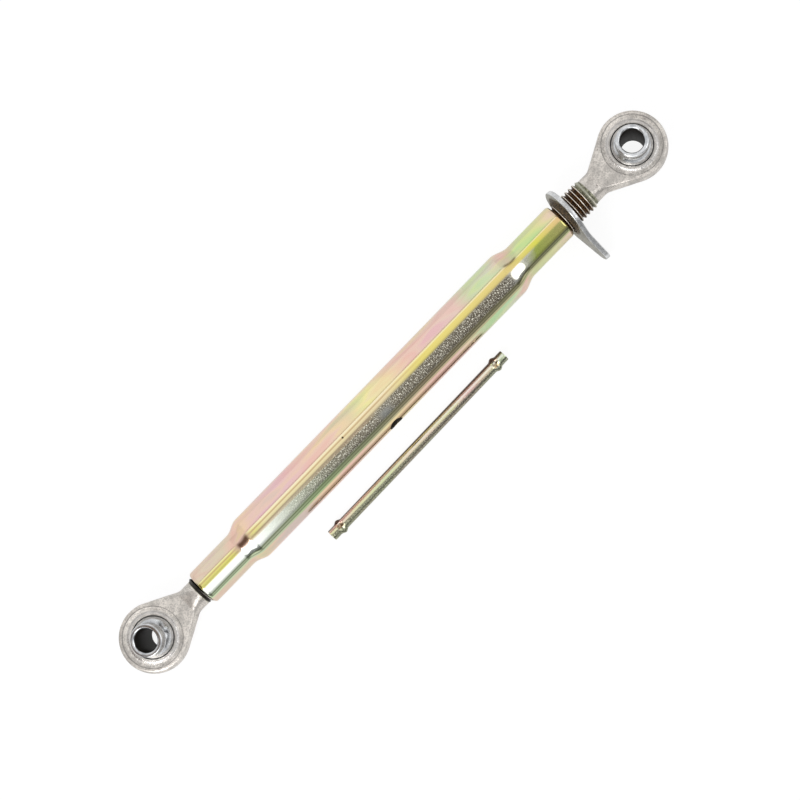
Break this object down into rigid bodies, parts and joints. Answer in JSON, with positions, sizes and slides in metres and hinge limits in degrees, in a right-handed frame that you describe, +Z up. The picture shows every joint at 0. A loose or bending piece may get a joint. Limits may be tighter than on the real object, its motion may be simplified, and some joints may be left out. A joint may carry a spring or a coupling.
{
  "type": "tractor top link",
  "caption": "Adjustable threaded link with a swivel ball in an eye at each end, a turnbuckle tube, a lever lock nut and a loose turning bar beside it.",
  "frame": {"origin": "centre of the base of the whole object's box, on the table that the link lies on", "axes": "+X along the barrel to the upper end, where the lock plate is; +Z up, away from the table"},
  "size_m": [0.5994, 0.0767, 0.0477],
  "materials": {
    "barrel": "yellow zinc plate, iridescent, satin",
    "eye": "clear zinc plate on a forging, satin",
    "ball": "clear zinc plate on turned steel, bright",
    "lock_plate": "clear zinc plate on pressed steel, satin",
    "tommy_bar": "yellow zinc plate, iridescent, satin"
  },
  "bodies": {
    "barrel": {"barrel": "barrel"},
    "upper_eye": {"upper_eye": "eye"},
    "lower_eye": {"lower_eye": "eye"},
    "upper_ball": {"upper_ball": "ball"},
    "lower_ball": {"lower_ball": "ball"},
    "lock_plate": {"lock_plate": "lock_plate"},
    "tommy_bar": {"tommy_bar": "tommy_bar"}
  },
  "joints": [
    {"name": "upper_eye_screw", "type": "slide", "parent": "barrel", "child": "upper_eye", "axis": [1, 0, 0], "range_m": [-0.002, 0.095]},
    {"name": "lower_eye_screw", "type": "slide", "parent": "barrel", "child": "lower_eye", "axis": [-1, 0, 0], "range_m": [-0.002, 0.095]},
    {"name": "upper_ball_tilt", "type": "hinge", "parent": "upper_eye", "child": "upper_ball", "pos_m": [0.27122, 0.00987, 0.02387], "axis": [0, 1, 0], "range_deg": [-16.5, 13.5]},
    {"name": "lower_ball_tilt", "type": "hinge", "parent": "lower_eye", "child": "lower_ball", "pos_m": [-0.27122, 0.00987, 0.02387], "axis": [0, 1, 0], "range_deg": [-4.5, 25.5]},
    {"name": "lock_plate_turn", "type": "hinge", "parent": "upper_eye", "child": "lock_plate", "pos_m": [0.2005, 0.00987, 0.02387], "axis": [1, 0, 0], "continuous": true},
    {"name": "tommy_bar_lift", "type": "slide", "parent": "barrel", "child": "tommy_bar", "axis": [0, 0, 1], "range_m": [0, 0.12]}
  ],
  "couplings": [
    {"joint": "lower_eye_screw", "follows": "upper_eye_screw", "ratio": 1}
  ]
}
